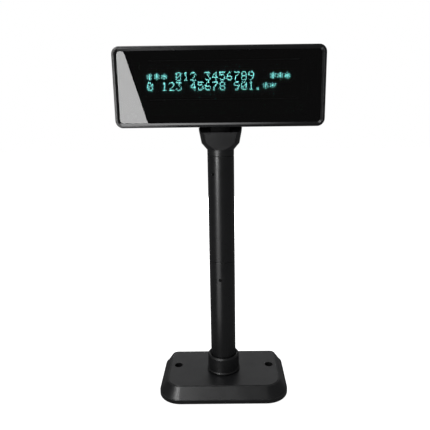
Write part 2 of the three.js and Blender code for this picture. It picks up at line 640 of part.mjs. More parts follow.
// One row of lead pins between the display tube and its board, joined by a carrier strip.
function leadRow(side) {
  const edge = VFD_H / 2 + GAP;
  const start = VFD_FRONT + GLASS_T;
  const half = LEAD_COUNT * LEAD_PITCH / 2;
  const strip = box(-half, half, start, start + STRIP_H, edge, edge + STRIP_T);
  const pinLow = edge + (STRIP_T - LEAD_T) / 2;
  const pins = [];
  for (let i = 0; i < LEAD_COUNT; i += 1) {
    const x = (i - (LEAD_COUNT - 1) / 2) * LEAD_PITCH;
    pins.push(box(x - LEAD_W / 2, x + LEAD_W / 2, start + 1, BOARD_FRONT - GAP, pinLow, pinLow + LEAD_T));
  }
  const row = join(strip, ...pins);
  return (side < 0 ? row.mirror([0, 0, 1]) : row).translate([VFD_X, 0, VFD_Z]);
}

function boardPlaces() {
  return eachCorner(BOARD_POST_X, BOARD_POST_Z).map(([x, z]) => [x, HEAD_MID + z]);
}

function driverBoard() {
  const board = slabY(roundedRect(BOARD_W, BOARD_H, 2), BOARD_FRONT, BOARD_FRONT + BOARD_T);
  const holes = boardPlaces().map(([x, z]) => rodY(SCREW_WAY_R, BOARD_FRONT - 1, 1, x, z - HEAD_MID));
  return onHead(cut(board, ...holes));
}

function onBoard(x, z, width, height, thickness) {
  const y0 = BOARD_FRONT + BOARD_T + GAP;
  return box(x - width / 2, x + width / 2, y0, y0 + thickness,
    HEAD_MID + z - height / 2, HEAD_MID + z + height / 2);
}

function cableHeader() {
  const shell = onBoard(0, -20, 18, 8, 9);
  const pocket = onBoard(0, -20, 15.6, 5.6, 20).translate([0, 2, 0]);
  return cut(shell, pocket);
}

// ---------------------------------------------------------------- assembly
const display = new THREE.Group();
display.name = 'customer_pole_display';

function add(name, solid, look) {
  const mesh = new THREE.Mesh(geometryOf(solid), look);
  mesh.name = name;
  display.add(mesh);
  return mesh;
}

function addAt(name, solid, look, x, y, z) {
  const mesh = add(name, solid, look);
  mesh.position.set(x, y, z);
  return mesh;
}

// Base: feet, steel plate, moulded housing and what fastens them.
eachCorner(FOOT_X, FOOT_Y).forEach(([x, y], i) => {
  addAt(`base_foot_${i + 1}`, turned([[0, 0], [FOOT_R - 0.4, 0], [FOOT_R, 0.4], [FOOT_R, FOOT_H],
    [0, FOOT_H]], ROUND_STEPS / 2), RUBBER_BLACK, x, y, 0);
});
add('base_plate', basePlate(), STEEL);
add('base_housing', baseHousing(), SATIN_BLACK);
eachCorner(PLATE_SCREW_X, PLATE_SCREW_Y).forEach(([x, y], i) => {
  const mesh = addAt(`base_plate_screw_${i + 1}`, screw(2.8, 1.6, 1.2, 8), STEEL, x, y, PLATE_SCREW_Z);
  mesh.rotation.x = Math.PI;
});
flangeScrewPlaces().forEach(([x, y], i) => {
  const mesh = addAt(`pole_socket_screw_${i + 1}`, screw(2.8, 1.6, 1.2, 4.6), STEEL, x, y, PLATE_SCREW_Z);
  mesh.rotation.x = Math.PI;
});
add('pole_socket', poleSocket(), STEEL);
add('base_collar', baseCollar(), SATIN_BLACK);

// Pole: two tubes, the sleeve inside their seam and the set screws that lock them.
const lowerTube = poleTube(FLANGE_TOP + GAP, POLE_JOINT_Z - GAP / 2, LOCK_LOWER);
add('lower_pole', cut(lowerTube, cableWindow()), SATIN_BLACK);
add('upper_pole', poleTube(POLE_JOINT_Z + GAP / 2, POLE_TOP_Z, LOCK_UPPER, LOCK_REAR), SATIN_BLACK);
add('pole_coupler', poleCoupler(), DARK_STEEL);
add('lock_screw_lower', lockScrew(LOCK_LOWER), DARK_STEEL);
add('lock_screw_upper', lockScrew(LOCK_UPPER), DARK_STEEL);
add('lock_screw_rear', lockScrew(LOCK_REAR), DARK_STEEL);

// Neck: the yoke that swivels on the pole, and the tilt bolt with its washers.
add('neck_yoke', neckYoke(), SATIN_BLACK);
add('swivel_washer', ringZ(WASHER_OUTER, WASHER_INNER, POLE_TOP_Z + 0.1, POLE_TOP_Z + 0.1 + WASHER_T), NYLON);
add('tilt_bolt', tiltBolt(), DARK_STEEL);
add('tilt_lock_washer', washerX(BOLT_HEAD_R, BOLT_SEAT + GAP, BOLT_SEAT + GAP + LOCK_WASHER_T), STEEL);
add('tilt_nut', tiltNut(), STEEL);
add('bolt_cap_left', boltCap(-1), SATIN_BLACK);
add('bolt_cap_right', boltCap(1), SATIN_BLACK);

// Head: knuckle, bezel, lens, display tube, driver board and rear cover.
add('tilt_washer_left', washerX(TILT_WASHER_R, -EAR_INNER + GAP, -KNUCKLE_HALF - GAP), MATTE_BLACK);
add('tilt_washer_right', washerX(TILT_WASHER_R, KNUCKLE_HALF + GAP, EAR_INNER - GAP), MATTE_BLACK);
add('tilt_knuckle', tiltKnuckle(), MATTE_BLACK);
[-KNUCKLE_SCREW_X, KNUCKLE_SCREW_X].forEach((x, i) => {
  addAt(`knuckle_screw_${i + 1}`, screw(3, 1.8, 1.15, 6.5), STEEL,
    x, KNUCKLE_SCREW_Y, KNUCKLE_PLATE_TOP + GAP);
});
add('hinge_hood', hingeHood(), SATIN_BLACK);
add('front_bezel', frontBezel(), SATIN_BLACK);
add('display_lens', displayLens(), LENS_BLACK);
add('vfd_front_glass', vfdPane(VFD_FRONT), CLEAR_GLASS);
add('vfd_spacer', vfdSpacer(), CHIP_BLACK);
add('vfd_anode_glass', vfdPane(VFD_FRONT + GLASS_T + SPACER_T + 2 * GAP), CHIP_BLACK);
add('vfd_leads_top', leadRow(1), STEEL);
add('vfd_leads_bottom', leadRow(-1), STEEL);
add('driver_board', driverBoard(), BOARD_GREEN);
add('controller_chip', onBoard(-34, 6, 16, 16, 2.4), CHIP_BLACK);
add('driver_chip_left', onBoard(-62, 6, 10, 18, 2.4), CHIP_BLACK);
add('driver_chip_right', onBoard(34, 6, 10, 18, 2.4), CHIP_BLACK);
[58, 72].forEach((x, i) => {
  const start = BOARD_FRONT + BOARD_T + GAP;
  add(`capacitor_${i + 1}`, rodY(5, start, start + 12, x, HEAD_MID - 12), CAN_BLUE);
});
add('supply_transformer', onBoard(-62, -14, 16, 14, 9), WINDING);
add('cable_header', cableHeader(), NYLON);
boardPlaces().forEach(([x, z], i) => {
  const mesh = addAt(`board_screw_${i + 1}`, screw(3, 1.6, 1.2, 7), STEEL, x, BOARD_FRONT - GAP, z);
  mesh.rotation.x = Math.PI / 2;
});
add('rear_cover', rearCover(), MATTE_BLACK);
headPosts().forEach(([x, z], i) => {
  const mesh = addAt(`case_screw_${i + 1}`, screw(2.9, 1.8, 1.2, 21), DARK_STEEL, x, CASE_SINK_Y + GAP, z);
  mesh.rotation.x = -Math.PI / 2;
});

export default display;
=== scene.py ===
import json
import math

import bmesh
import bpy
from mathutils import Matrix, Vector


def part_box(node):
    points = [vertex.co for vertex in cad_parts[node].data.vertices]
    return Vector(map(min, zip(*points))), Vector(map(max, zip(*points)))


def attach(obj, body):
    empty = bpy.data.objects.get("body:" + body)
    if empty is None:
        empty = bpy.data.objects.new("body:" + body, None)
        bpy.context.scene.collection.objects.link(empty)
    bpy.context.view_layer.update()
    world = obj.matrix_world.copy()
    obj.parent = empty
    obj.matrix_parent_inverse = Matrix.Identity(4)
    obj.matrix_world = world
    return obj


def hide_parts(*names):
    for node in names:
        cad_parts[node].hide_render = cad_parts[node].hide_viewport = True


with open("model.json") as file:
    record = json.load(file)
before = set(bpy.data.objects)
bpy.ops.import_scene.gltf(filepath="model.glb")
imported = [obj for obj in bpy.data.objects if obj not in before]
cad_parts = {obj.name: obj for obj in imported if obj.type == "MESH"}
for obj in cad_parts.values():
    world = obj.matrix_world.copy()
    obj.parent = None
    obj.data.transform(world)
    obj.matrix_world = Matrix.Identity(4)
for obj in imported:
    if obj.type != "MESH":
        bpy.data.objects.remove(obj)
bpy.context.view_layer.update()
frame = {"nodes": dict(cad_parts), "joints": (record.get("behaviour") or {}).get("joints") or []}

# Lengths in this script are millimetres, and MM turns them into Blender's metres.
MM = 0.001


def node_box(node):
    """(low corner, high corner) of a CAD node, in millimetres."""
    low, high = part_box(node)
    return Vector(low) / MM, Vector(high) / MM


# ---------------------------------------------------------------- sizes read from the frame
BASE_LOW, BASE_HIGH = node_box("base_housing")
BASE_W = BASE_HIGH.x - BASE_LOW.x
BASE_D = BASE_HIGH.y - BASE_LOW.y
PLATE_LOW, PLATE_HIGH = node_box("base_plate")
COLLAR_LOW, COLLAR_HIGH = node_box("base_collar")
LOWER_LOW, LOWER_HIGH = node_box("lower_pole")
UPPER_LOW, UPPER_HIGH = node_box("upper_pole")
POLE_R = LOWER_HIGH.x
BEZEL_LOW, BEZEL_HIGH = node_box("front_bezel")
LENS_LOW, LENS_HIGH = node_box("display_lens")
COVER_LOW, COVER_HIGH = node_box("rear_cover")
HEAD_W = BEZEL_HIGH.x - BEZEL_LOW.x
HEAD_H = BEZEL_HIGH.z - BEZEL_LOW.z
HEAD_MID = (BEZEL_HIGH.z + BEZEL_LOW.z) / 2
YOKE_LOW = node_box("neck_yoke")[0]
KNUCKLE_LOW, KNUCKLE_HIGH = node_box("tilt_knuckle")
ANODE_LOW, ANODE_HIGH = node_box("vfd_anode_glass")
TILT_Z = next(j for j in frame["joints"] if j["name"] == "head_tilt")["pos_m"][2] / MM

# ---------------------------------------------------------------- sizes shared with the CAD pieces
BASE_FRONT_CORNER = 27
BASE_BACK_CORNER = 16
BASE_LIP_TOP = 5.8
BASE_INSET = 9.4
BASE_LEDGE = 0.7
BASE_WALL = 2.6
BOSS_R = 4
WELL_WALL = 2  # plastic round a counter-screw hole
CABLE_W = 11
CABLE_TOP = 9
CABLE_DEPTH = 13  # notch in the housing, from the rear
PLATE_CABLE_DEPTH = 11.6
COLLAR_FOOT_R = 18.4
COLLAR_FOOT_H = 1.3
MOUNT_X = 56.8
MOUNT_Y = 6
MOUNT_HEAD_R = 5
MOUNT_HOLE_R = 2.4
MOUNT_HEAD_DEPTH = 7
PLATE_HOLES = [(-46, -33), (46, -33), (46, 33), (-46, 33)]
FLANGE_CIRCLE = 21
FLANGE_HOLES = [(FLANGE_CIRCLE * math.cos(a), -FLANGE_CIRCLE * math.sin(a))
                for a in map(math.radians, (90, 210, 330))]
SCREW_SINK_R = 3.3
SCREW_SINK = 1.75  # from the plate's underside up to where a screw's head begins
SCREW_HEAD_R = 2.8
SCREW_HEAD_H = 1.6
SCREW_SHANK_R = 1.2
PLATE_SCREW_L = 8
FLANGE_SCREW_L = 4.6
CASE_SCREW_L = 21
CASE_HEAD_H = 1.7
CASE_HEAD_SEAT = 1.8  # from a case screw's outer end in to where its head begins
POLE_BORE = 13
LOCK_R = 1.7
LOCK_HOLE_R = 1.95
LOCK_SUNK = 0.8  # below the tube's surface
LOCK_BITE = 3.0  # a set screw's length
LOCKS = {  # each set screw's height, and its angle round the pole from straight ahead
    "lock_screw_upper": (261.6, -36),
    "lock_screw_lower": (138.7, -9),
    "lock_screw_rear": (180.5, 180),
}
NECK_R = 15
NECK_BORE = 8.5
NECK_BORE_TOP = 287
NECK_STUB_R = 12.65
NECK_SPAN = 30  # half the length of a cut right through the neck
NECK_WAY = ((-5, 3.5, 284), (5, 13, TILT_Z + 1))  # corners of the cable's way
NECK_FLAT_Y = 15.0
NECK_FRONT_WALL = 2.6
NECK_FRONT_TOP = 307.4
NECK_REAR_TOP = 299
NECK_BOTTOM = 281.55
EAR_R = 13.2
EAR_INNER = 12.3
CRADLE_R = 10.4
SEAT_R = 4.2
SEAT_X = 15.6
CAP_X = 19.45
GAP = 0.25
KNUCKLE_R = 9.9
KNUCKLE_HALF = 10.8
KNUCKLE_FRONT = -8
KNUCKLE_BACK = 7
KNUCKLE_PLATE_T = 2.6
BOLT_WAY_R = 2.85
HOOD_SLOPE = 32  # degrees above the axle, where the hood's lower edge lies
HEAD_CORNER = 8
HEAD_WALL = 2.4
BACK_TAPER = 7
RING_FLAT = 2.6
RING_BEVEL = 2.0
LENS_LEDGE = 3.4
LENS_SEAT_T = 1.8
CASE_POST_X = 98.8
CASE_POST_Z = 29.5
CASE_POST_R = 4
CASE_WAY_R = 1.8
CASE_SINK_R = 3.2
CASE_SINK_Y = 8
NECK_HOLE_FRONT = -8.6
NECK_HOLE_BACK = 13
NECK_HOLE_H = 3.5
VENT_X = 52
VENT_PITCH = 5
VENT_COUNT = 7
VENT_HALF = 9.9
VENT_R = 1.1
LABEL_W = 58
LABEL_H = 30
LABEL_DEPTH = 0.35

BLACK = (0.017, 0.0175, 0.019)
GLOW_COLOUR = (0.32, 1.0, 0.97)
DOT_GLOW = 15.0
PLATE_GLOW = 0.5
ROUND = 96  # steps round a turned piece
CORNER = 14  # steps round a rounded rectangle's corner


# ---------------------------------------------------------------- outlines and profiles
def rect_loop(width, height, lower, upper=None):
    """Points of a rounded rectangle about the origin, anticlockwise, from its corner radii."""
    loop = []
    for quarter, (sx, sy) in enumerate(((1, -1), (1, 1), (-1, 1), (-1, -1))):
        radius = max(lower if sy < 0 or upper is None else upper, 0.4)
        for step in range(CORNER + 1):
            angle = math.radians(90 * (quarter - 1) + 90 * step / CORNER)
            loop.append((sx * (width / 2 - radius) + radius * math.cos(angle),
                         sy * (height / 2 - radius) + radius * math.sin(angle)))
    return loop


def circle_loop(radius, steps=ROUND):
    return [(radius * math.cos(2 * math.pi * i / steps), radius * math.sin(2 * math.pi * i / steps))
            for i in range(steps)]


def eased(points, closed=False, steps=4):
    """A profile of (a, b, radius) points, with each corner rounded to its radius."""
    out = []
    count = len(points)
    for i, (a, b, radius) in enumerate(points):
        here = Vector((a, b))
        if radius == 0 or (not closed and i in (0, count - 1)):
            out.append((a, b))
            continue
        before = Vector(points[i - 1][:2]) - here
        after = Vector(points[(i + 1) % count][:2]) - here
        half = before.angle(after) / 2
        reach = min(radius / math.tan(half), before.length * 0.49, after.length * 0.49)
        start = here + before.normalized() * reach
        end = here + after.normalized() * reach
        for step in range(steps + 1):
            t = step / steps
            point = start * (1 - t) ** 2 + here * (2 * t * (1 - t)) + end * t ** 2
            out.append((point.x, point.y))
    return out


# ---------------------------------------------------------------- mesh building
def mesh_object(name, points, faces):
    """A piece from points in millimetres and faces, with its normals turned outwards."""
    mesh = bpy.data.meshes.new(name)
    mesh.from_pydata([Vector(p) * MM for p in points], [], faces)
    shape = bmesh.new()
    shape.from_mesh(mesh)
    bmesh.ops.remove_doubles(shape, verts=shape.verts, dist=1e-7)
    bmesh.ops.recalc_face_normals(shape, faces=shape.faces)
    shape.to_mesh(mesh)
    shape.free()
    piece = bpy.data.objects.new(name, mesh)
    bpy.context.scene.collection.objects.link(piece)
    return piece


def skin(name, loops, ring=False):
    """A solid through loops of equal length: a ring that closes on itself, or capped at both ends."""
    size = len(loops[0])
    points = [p for loop in loops for p in loop]
    faces = []
    for k in range(len(loops) if ring else len(loops) - 1):
        low, high = k * size, (k + 1) % len(loops) * size
        for i in range(size):
            j = (i + 1) % size
            faces.append((low + i, low + j, high + j, high + i))
    if not ring:
        faces.append(tuple(reversed(range(size))))
        faces.append(tuple((len(loops) - 1) * size + i for i in range(size)))
    return mesh_object(name, points, faces)


def turned(name, profile, steps=ROUND, ring=False):
    """A solid turned about Z from (radius, height) points."""
    loops = [[(x, y, z) for x, y in circle_loop(radius, steps)] for radius, z in profile]
    return skin(name, loops, ring)


def base_block(name, profile):
    """The base's outline stacked up Z from (inset, height) points."""
    loops = []
    for inset, z in profile:
        loop = rect_loop(BASE_W - 2 * inset, BASE_D - 2 * inset,
                         BASE_FRONT_CORNER - inset, BASE_BACK_CORNER - inset)
        loops.append([(x, y, z) for x, y in loop])
    return skin(name, loops)


def upright_block(name, width, height, corner, profile, ring=False, middle=None):
    """Rounded rectangles that face the front, stacked along Y from (inset, depth) points."""
    middle_x, middle_z = middle or (0, HEAD_MID)
    loops = []
    for inset, y in profile:
        loop = rect_loop(width - 2 * inset, height - 2 * inset, corner - inset)
        loops.append([(middle_x + x, y, middle_z + z) for x, z in loop])
    return skin(name, loops, ring)


def pane(name, low, high, corner, edge):
    """A flat pane with softened edges that fills a box."""
    profile = eased([(2, low.y, 0), (0, low.y, edge), (0, high.y, edge), (2, high.y, 0)])
    middle = (low + high) / 2
    return upright_block(name, high.x - low.x, high.z - low.z, corner, profile, middle=(middle.x, middle.z))


def rod(name, radius, start, end, steps=32):
    """A plain rod between two points."""
    start, end = Vector(start), Vector(end)
    turn = (end - start).to_track_quat("Z", "Y").to_matrix()
    length = (end - start).length
    loops = [[turn @ Vector((x, y, z)) + start for x, y in circle_loop(radius, steps)] for z in (0, length)]
    return skin(name, loops)


def block(name, low, high):
    """A plain box between two corners."""
    (x0, y0, z0), (x1, y1, z1) = low, high
    return skin(name, [[(x0, y0, z), (x1, y0, z), (x1, y1, z), (x0, y1, z)] for z in (z0, z1)])


def side_extrusion(name, outline, half):
    """An outline in the YZ plane, extruded from -half to half along X."""
    return skin(name, [[(x, y, z) for y, z in outline] for x in (-half, half)])


def combine(piece, tools, operation="DIFFERENCE"):
    """Cuts, joins or intersects a piece with others, which are used up."""
    for tool in tools:
        step = piece.modifiers.new("combine", "BOOLEAN")
        step.operation = operation
        step.solver = "EXACT"
        step.object = tool
        graph = bpy.context.evaluated_depsgraph_get()
        result = bpy.data.meshes.new_from_object(piece.evaluated_get(graph))
        piece.modifiers.clear()
        old = piece.data
        piece.data = result
        bpy.data.meshes.remove(old)
        bpy.data.objects.remove(tool)
    return piece


def soften(piece, width, angle=30, segments=3):
    """Rounds the piece's sharp edges."""
    bevel = piece.modifiers.new("edges", "BEVEL")
    bevel.width = width * MM
    bevel.segments = segments
    bevel.limit_method = "ANGLE"
    bevel.angle_limit = math.radians(angle)
    bevel.use_clamp_overlap = True
    bevel.miter_outer = "MITER_ARC"
    return piece


def shade(piece):
    """Smooth shading that keeps flat faces flat."""
    piece.data.shade_smooth()
    piece.data.set_sharp_from_angle(angle=math.radians(48))
    weigh = piece.modifiers.new("normals", "WEIGHTED_NORMAL")
    weigh.keep_sharp = True
    weigh.weight = 80


def place(piece, body, material, *nodes):
    """Finishes a piece: its shading, material, body and the CAD nodes that it stands for."""
    shade(piece)
    piece.data.materials.clear()
    piece.data.materials.append(material)
    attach(piece, body)
    if nodes:
        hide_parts(*nodes)
    return piece


# ---------------------------------------------------------------- material nodes
class Nodes:
    """Short calls for building one material's node tree."""

    def __init__(self, name):
        self.material = bpy.data.materials.new(name)
        self.material.use_nodes = True
        self.tree = self.material.node_tree
        self.shader = self.tree.nodes["Principled BSDF"]
        self.place = self.tree.nodes.new("ShaderNodeTexCoord").outputs["Object"]

    def add(self, kind, **values):
        node = self.tree.nodes.new(kind)
        for key, value in values.items():
            setattr(node, key, value)
        return node

    def link(self, source, target):
        self.tree.links.new(source, target)

    def mapped(self, scale):
        """The place, stretched by a scale for each axis."""
        node = self.add("ShaderNodeMapping")
        node.inputs["Scale"].default_value = scale
        self.link(self.place, node.inputs["Vector"])
        return node.outputs["Vector"]

    def noise(self, scale, detail=2.0, roughness=0.5, vector=None):
        node = self.add("ShaderNodeTexNoise")
        node.inputs["Scale"].default_value = scale
        node.inputs["Detail"].default_value = detail
        node.inputs["Roughness"].default_value = roughness
        self.link(vector or self.place, node.inputs["Vector"])
        return node.outputs["Fac"]

    def speckle(self, scale):
        node = self.add("ShaderNodeTexVoronoi")
        node.inputs["Scale"].default_value = scale
        self.link(self.place, node.inputs["Vector"])
        return node.outputs["Distance"]

    def ramp(self, value, low, high, start=0.3, end=0.7):
        """A value or colour that goes from low to high as the input goes from start to end."""
        node = self.add("ShaderNodeValToRGB")
        first, last = node.color_ramp.elements
        first.position, last.position = start, end
        first.color = colour(low)
        last.color = colour(high)
        self.link(value, node.inputs["Fac"])
        return node.outputs["Color"]

    def bump(self, height, distance, strength, before=None):
        node = self.add("ShaderNodeBump")
        node.inputs["Distance"].default_value = distance * MM
        node.inputs["Strength"].default_value = strength
        self.link(height, node.inputs["Height"])
        if before:
            self.link(before, node.inputs["Normal"])
        return node.outputs["Normal"]

    def feed(self, **sources):
        """Links sources to the shader's inputs, or sets plain numbers."""
        for key, source in sources.items():
            target = self.shader.inputs[key.replace("_", " ")]
            if isinstance(source, bpy.types.NodeSocket):
                self.link(source, target)
            else:
                target.default_value = source
        return self.material


def colour(value):
    """A ramp colour from a grey number or three numbers."""
    red, green, blue = (value,) * 3 if isinstance(value, (int, float)) else value
    return (red, green, blue, 1.0)


def tint(base, factor):
    return tuple(channel * factor for channel in base)


def moulded_plastic(name, base, roughness, grain=1500.0, depth=0.03):
    """Spark-textured plastic: fine even grain, faint flow marks and handling polish."""
    n = Nodes(name)
    flow = n.noise(14.0, 3.0)
    grit = n.noise(grain, 2.0, 0.6)
    coarse = n.speckle(grain * 0.45)
    normal = n.bump(coarse, depth * 0.6, 0.35, n.bump(grit, depth, 0.5))
    return n.feed(Base_Color=n.ramp(flow, tint(base, 0.88), tint(base, 1.12)),
                  Roughness=n.ramp(n.noise(60.0, 4.0), roughness - 0.05, roughness + 0.05),
                  Normal=normal)


def powder_paint(name, base, roughness):
    """Satin powder coat: soft orange peel and a faint unevenness in its gloss."""
    n = Nodes(name)
    peel = n.noise(420.0, 2.0)
    fine = n.noise(2600.0, 1.0)
    normal = n.bump(fine, 0.01, 0.3, n.bump(peel, 0.03, 0.25))
    return n.feed(Base_Color=n.ramp(n.noise(25.0, 3.0), tint(base, 0.9), tint(base, 1.1)),
                  Roughness=n.ramp(n.noise(90.0, 4.0), roughness - 0.03, roughness + 0.03),
                  Normal=normal)


def worked_metal(name, base, roughness, stretch=(40.0, 900.0, 900.0)):
    """Steel with the fine lines of rolling or turning."""
    n = Nodes(name)
    lines = n.noise(1.0, 4.0, 0.6, n.mapped(stretch))
    return n.feed(Base_Color=n.ramp(n.noise(30.0, 4.0), tint(base, 0.85), tint(base, 1.08)),
                  Metallic=1.0,
                  Roughness=n.ramp(lines, roughness - 0.07, roughness + 0.07),
                  Normal=n.bump(lines, 0.02, 0.15))


def smoked_acrylic():
    """The display window: polished acrylic with a deep neutral tint."""
    n = Nodes("smoked_acrylic")
    return n.feed(Base_Color=n.ramp(n.noise(20.0), (0.066, 0.07, 0.07), (0.074, 0.078, 0.078)),
                  Roughness=0.0, IOR=1.49, Transmission_Weight=1.0)


def tube_glass():
    n = Nodes("tube_glass")
    return n.feed(Base_Color=n.ramp(n.noise(15.0), (0.90, 0.94, 0.92), (0.94, 0.97, 0.96)),
                  Roughness=0.01, IOR=1.5, Transmission_Weight=1.0)


def rubber():
    n = Nodes("foot_rubber")
    return n.feed(Base_Color=n.ramp(n.noise(300.0, 4.0), 0.012, 0.03),
                  Roughness=n.ramp(n.noise(500.0, 4.0), 0.75, 0.92),
                  Normal=n.bump(n.noise(1400.0, 3.0), 0.05, 0.5))


def circuit_board():
    """Green solder mask over copper runs."""
    n = Nodes("board_laminate")
    bricks = n.add("ShaderNodeTexBrick")
    bricks.inputs["Scale"].default_value = 160.0
    bricks.inputs["Mortar Size"].default_value = 0.03
    turn = n.add("ShaderNodeMapping")
    turn.inputs["Rotation"].default_value = (math.pi / 2, 0, 0)
    n.link(n.place, turn.inputs["Vector"])
    n.link(turn.outputs["Vector"], bricks.inputs["Vector"])
    copper = n.ramp(bricks.outputs["Fac"], (0.012, 0.10, 0.045), (0.03, 0.19, 0.08), 0.4, 0.6)
    return n.feed(Base_Color=copper, Roughness=0.3, Normal=n.bump(bricks.outputs["Fac"], 0.05, 0.6))


def lit_phosphor():
    """The lit dots: a grainy blue-green phosphor."""
    n = Nodes("lit_phosphor")
    n.shader.inputs["Emission Strength"].default_value = DOT_GLOW
    grain = n.noise(4000.0)
    return n.feed(Base_Color=n.ramp(grain, 0.1, 0.2), Roughness=0.8,
                  Emission_Color=n.ramp(grain, tint(GLOW_COLOUR, 0.9), GLOW_COLOUR))


def anode_surface():
    """The dark plate behind the lit dots, with the light that spreads over it."""
    n = Nodes("anode_surface")
    glow = n.add("ShaderNodeAttribute", attribute_name="glow").outputs["Color"]
    n.shader.inputs["Emission Strength"].default_value = PLATE_GLOW
    return n.feed(Base_Color=n.ramp(n.noise(700.0, 2.0), 0.008, 0.014), Roughness=0.35, Emission_Color=glow)


FOOT_RUBBER = rubber()
LENS_TINT = smoked_acrylic()
TUBE_GLASS = tube_glass()
BOARD = circuit_board()
SHELL = moulded_plastic("shell_plastic", BLACK, 0.36)
SHELL_FINE = moulded_plastic("bezel_plastic", BLACK, 0.23, grain=2200.0, depth=0.006)
# A darker, duller copy of the shell plastic: its darker colour is painted shade, standing in for the head's
# shadow over the hinge.
SHELL_PAINTED_SHADE = moulded_plastic("knuckle_plastic_painted_shade", tint(BLACK, 0.35), 0.72)
SHELL_PAINTED_SHADE.node_tree.nodes["Principled BSDF"].inputs["Specular IOR Level"].default_value = 0.2
PAINT = powder_paint("pole_paint", BLACK, 0.30)
STEEL = worked_metal("bare_steel", (0.52, 0.53, 0.54), 0.34)
DARK_STEEL = worked_metal("dark_steel", (0.07, 0.07, 0.075), 0.38)
NYLON = moulded_plastic("nylon", tint(BLACK, 0.7), 0.6)
CHIP = moulded_plastic("chip_resin", (0.02, 0.02, 0.02), 0.55)
CAN = moulded_plastic("capacitor_sleeve", (0.03, 0.05, 0.12), 0.3)
COPPER = worked_metal("copper_winding", (0.65, 0.30, 0.12), 0.3, (900.0, 900.0, 2200.0))


# ---------------------------------------------------------------- base
def base_housing():
    top = BASE_HIGH.z
    slope = (BASE_INSET - BASE_LEDGE) / (top - BASE_LIP_TOP)
    edge = BASE_INSET - 0.35 * slope
    outer = eased([(4, BASE_LOW.z, 0), (0, BASE_LOW.z, 0.3), (0, BASE_LIP_TOP, 0.8),
                   (BASE_LEDGE + 0.2, BASE_LIP_TOP + 0.1, 0.3), (edge, top - 0.35, 0.7),
                   (edge + 0.75, top - 0.35, 0.12), (edge + 0.85, top - 0.8, 0.12),
                   (edge + 1.25, top - 0.8, 0.12), (edge + 1.4, top, 0.45), (edge + 4, top, 0)])
    inner = [(BASE_WALL, 0), (BASE_WALL, BASE_LIP_TOP), (BASE_WALL + BASE_INSET, top - BASE_WALL)]
    housing = base_block("base_shell", outer)
    combine(housing, [base_block("cut", inner)])
    bottom = PLATE_HIGH.z + GAP
    wells = [rod("well", MOUNT_HEAD_R + WELL_WALL, (x, MOUNT_Y, bottom), (x, MOUNT_Y, top - 1))
             for x in (-MOUNT_X, MOUNT_X)]
    bosses = [rod("boss", BOSS_R, (x, y, bottom), (x, y, top - 1)) for x, y in PLATE_HOLES]
    combine(housing, wells + bosses, "UNION")
    holes = [rod("pole_way", POLE_R + 0.35, (0, 0, 0), (0, 0, top + 1), ROUND),
             block("cable_way", (-CABLE_W / 2, BASE_HIGH.y - CABLE_DEPTH, -1),
                   (CABLE_W / 2, BASE_HIGH.y + 5, CABLE_TOP))]
    seat = top - MOUNT_HEAD_DEPTH
    for x in (-MOUNT_X, MOUNT_X):
        holes.append(rod("hole", MOUNT_HOLE_R, (x, MOUNT_Y, 0), (x, MOUNT_Y, top)))
        holes.append(rod("hole", MOUNT_HEAD_R, (x, MOUNT_Y, seat), (x, MOUNT_Y, top + 1), 48))
    combine(housing, holes)
    soften(housing, 0.35, 60, 2)
    place(housing, "base", SHELL, "base_housing")


def base_collar():
    low, high = COLLAR_LOW.z, COLLAR_HIGH.z
    rim, bore = COLLAR_HIGH.x, POLE_R + GAP
    wall = rim - 1
    foot = low + COLLAR_FOOT_H
    profile = eased([(bore, low, 0.1), (COLLAR_FOOT_R, low, 0.1), (COLLAR_FOOT_R, foot, 0.1),
                     (rim, foot, 0.25), (rim, foot + 0.75, 0.45), (wall + 0.1, foot + 1.4, 0.5),
                     (wall, high - 1.5, 0.7), (wall - 1.5, high, 0.5), (bore + 1.1, high, 0.3),
                     (bore + 0.9, high - 2.6, 0.2), (bore, high - 3.0, 0.2)], closed=True)
    place(turned("base_collar_ring", profile, ring=True), "base", SHELL, "base_collar")


def base_plate():
    low, high = PLATE_LOW.z, PLATE_HIGH.z
    edge = BASE_WALL + GAP
    profile = eased([(edge + 3, low, 0), (edge, low, 0.4), (edge, high, 0.4), (edge + 3, high, 0)])
    plate = base_block("weight_plate", profile)
    tools = [rod("hole", MOUNT_HOLE_R, (x, MOUNT_Y, 0), (x, MOUNT_Y, high + 1))
             for x in (-MOUNT_X, MOUNT_X)]
    for x, y in PLATE_HOLES + FLANGE_HOLES:
        tools.append(rod("hole", SCREW_SINK_R, (x, y, 0), (x, y, low + 2)))
    tools.append(block("cable_way", (-CABLE_W / 2, BASE_HIGH.y - PLATE_CABLE_DEPTH, 0),
                       (CABLE_W / 2, BASE_HIGH.y, high + 1)))
    combine(plate, tools)
    place(soften(plate, 0.25, 60, 2), "base", STEEL, "base_plate")


def feet():
    for i in range(1, 5):
        low, high = node_box(f"base_foot_{i}")
        middle = (low + high) / 2
        radius = (high.y - low.y) / 2
        profile = eased([(radius * 0.3, low.z + 0.35, 0), (radius * 0.55, low.z, 0.5),
                         (radius - 0.2, low.z, 0.4), (radius, high.z, 0.2), (radius * 0.5, high.z, 0)])
        foot = turned(f"foot_pad_{i}", profile, 48)
        foot.location = Vector((middle.x, middle.y, 0)) * MM
        place(foot, "base", FOOT_RUBBER, f"base_foot_{i}")


